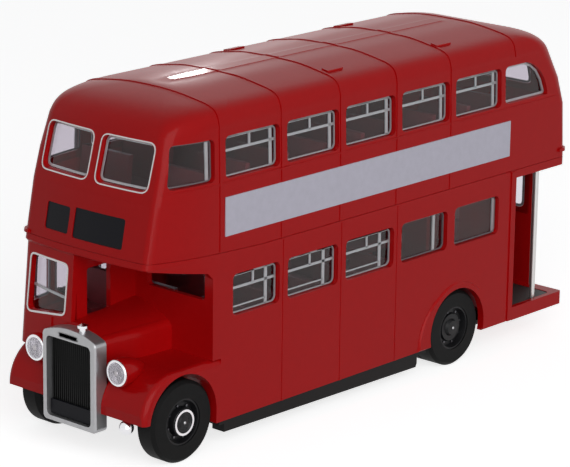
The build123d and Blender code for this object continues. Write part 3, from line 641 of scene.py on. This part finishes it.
wheel_r = 6.5
wheel_face = 14.6
nut_count = 8
nut_sides = 6
nut_r = 0.2
for side, hand in ((1, "nearside"), (-1, "offside")):
    outwards = (0, side, 0)
    for end, axle_x, body, nut_sunk, nut_circle, cap_lift in (
        # end, axle x, body, nuts behind the tyre's face, radius of the nuts' circle, cap's lift
        ("front", 42.5, "front_wheelset", 0.8, 2.62, 0.33),
        ("rear", -23.0, "rear_wheelset", 1.1, 2.75, -0.22),
    ):
        verts, faces = [], []
        for k in range(nut_count):
            angle = math.tau * (k + 0.3) / nut_count
            a, b = nut_circle * math.cos(angle), nut_circle * math.sin(angle)
            start = len(verts)
            for height in (-0.1, 0.22):
                for m in range(nut_sides):
                    turn = math.tau * m / nut_sides
                    verts.append((a + nut_r * math.cos(turn), b + nut_r * math.sin(turn), height))
            top = start + nut_sides
            for m in range(nut_sides):
                n = (m + 1) % nut_sides
                faces.append((start + m, start + n, top + n, top + m))
            faces.append(tuple(start + m for m in range(nut_sides)))
            faces.append(tuple(top + m for m in range(nut_sides)))
        spot = (axle_x, side * (wheel_face - nut_sunk), wheel_r)
        nuts = placed(verts, spot, AHEAD, outwards)
        mesh_object(f"{end}_{hand}_wheel_nuts", nuts, faces, nut_dark, body)
        cap = [(0.26, -0.05), (0.24, 0.12), (0.1, 0.18)]
        spot = (axle_x, side * (wheel_face + cap_lift), wheel_r)
        turned_piece(f"{end}_{hand}_axle_end", cap, spot, AHEAD, outwards, steel, body, 12)

# Screws in the base

base_bottom = 4.5
for index, x in enumerate((27.0, -7.0)):
    head = [(1.0, -0.3), (1.0, 0.0), (0.8, 0.12), (0.3, 0.12), (0.28, -0.25)]
    screw_at = (x, 0, base_bottom)
    turned_piece(f"base_screw_{index + 1}", head, screw_at, AHEAD, (0, 0, -1), steel, steps=20)


# Camera: the photograph's own viewpoint

camera_at = Vector((331.261, 293.813, 149.977))
camera_to = Vector((2.374, -1.122, 25.032))
camera_roll = 0.013
back = (camera_at - camera_to).normalized()
right = Vector((0, 0, 1)).cross(back).normalized()
up = back.cross(right)
turn = Matrix.Rotation(camera_roll, 3, back)
lens_data = bpy.data.cameras.new("camera")
lens_data.sensor_width = 36.0
lens_data.lens = 177.06
lens_data.clip_start = 0.01
lens_data.clip_end = 10.0
camera = bpy.data.objects.new("camera", lens_data)
bpy.context.scene.collection.objects.link(camera)
camera.matrix_world = (
    Matrix.Translation(camera_at * MM)
    @ (turn @ Matrix((right, up, back)).transposed()).to_4x4()
)
bpy.context.scene.camera = camera
bpy.context.scene.view_settings.view_transform = "Standard"


# Studio: a pale floor, a white surround and soft lights

def background_rays(tree):
    """A value that is one for camera, glossy and transmission rays, which see the pale studio."""
    path = tree.nodes.new("ShaderNodeLightPath")
    share = path.outputs["Is Camera Ray"]
    for name in ("Is Glossy Ray", "Is Transmission Ray"):
        larger = tree.nodes.new("ShaderNodeMath")
        larger.operation = "MAXIMUM"
        tree.links.new(share, larger.inputs[0])
        tree.links.new(path.outputs[name], larger.inputs[1])
        share = larger.outputs["Value"]
    return share


def studio_floor():
    """A large pale floor that lights the object less than it shows, and keeps its shadow."""
    mesh = bpy.data.meshes.new("studio_floor")
    reach = 3.0
    corners = [(-reach, -reach, 0), (reach, -reach, 0), (reach, reach, 0), (-reach, reach, 0)]
    mesh.from_pydata(corners, [], [(0, 1, 2, 3)])
    floor = bpy.data.objects.new("studio_floor", mesh)
    bpy.context.scene.collection.objects.link(floor)
    mat, tree, shader = new_material("floor_pale")
    shader.inputs["Base Color"].default_value = (0.30, 0.30, 0.31, 1)
    shader.inputs["Roughness"].default_value = 0.7
    out = tree.nodes["Material Output"]
    shown = tree.nodes.new("ShaderNodeBsdfDiffuse")
    shown.inputs["Color"].default_value = (0.8, 0.8, 0.8, 1)
    glow = tree.nodes.new("ShaderNodeEmission")
    glow.inputs["Color"].default_value = (1, 1, 1, 1)
    glow.inputs["Strength"].default_value = 0.75
    bright_floor = tree.nodes.new("ShaderNodeAddShader")
    tree.links.new(shown.outputs["BSDF"], bright_floor.inputs[0])
    tree.links.new(glow.outputs["Emission"], bright_floor.inputs[1])
    mix = tree.nodes.new("ShaderNodeMixShader")
    tree.links.new(background_rays(tree), mix.inputs["Fac"])
    tree.links.new(shader.outputs["BSDF"], mix.inputs[1])
    tree.links.new(bright_floor.outputs["Shader"], mix.inputs[2])
    tree.links.new(mix.outputs["Shader"], out.inputs["Surface"])
    mesh.materials.append(mat)


studio_floor()

world = bpy.data.worlds.new("surround")
bpy.context.scene.world = world
world.use_nodes = True
tree = world.node_tree
tree.nodes.clear()
world_out = tree.nodes.new("ShaderNodeOutputWorld")
seen = tree.nodes.new("ShaderNodeBackground")
seen.inputs["Color"].default_value = (1, 1, 1, 1)
seen.inputs["Strength"].default_value = 1.0
lit = tree.nodes.new("ShaderNodeBackground")
lit.inputs["Color"].default_value = (0.96, 0.97, 1.0, 1)
lit.inputs["Strength"].default_value = 0.16
mix = tree.nodes.new("ShaderNodeMixShader")
tree.links.new(background_rays(tree), mix.inputs["Fac"])
tree.links.new(lit.outputs["Background"], mix.inputs[1])
tree.links.new(seen.outputs["Background"], mix.inputs[2])
tree.links.new(mix.outputs["Shader"], world_out.inputs["Surface"])


def softbox(name, place, aim, width, depth, power):
    """A rectangular area light in metres, pointed at aim."""
    data = bpy.data.lights.new(name, "AREA")
    data.shape = "RECTANGLE"
    data.size = width
    data.size_y = depth
    data.energy = power
    light = bpy.data.objects.new(name, data)
    light.location = place
    light.rotation_mode = "QUATERNION"
    light.rotation_quaternion = (Vector(aim) - Vector(place)).to_track_quat("-Z", "Y")
    bpy.context.scene.collection.objects.link(light)


# name, place, aim, width and depth in metres, power in watts
softbox("key", (0.44, 0.70, 0.36), (0, 0, 0.03), 1.0, 0.8, 4.9)
softbox("lamp_behind", (-0.61, -0.62, 0.256), (0.027, 0, 0.055), 0.026, 0.016, 0.12)
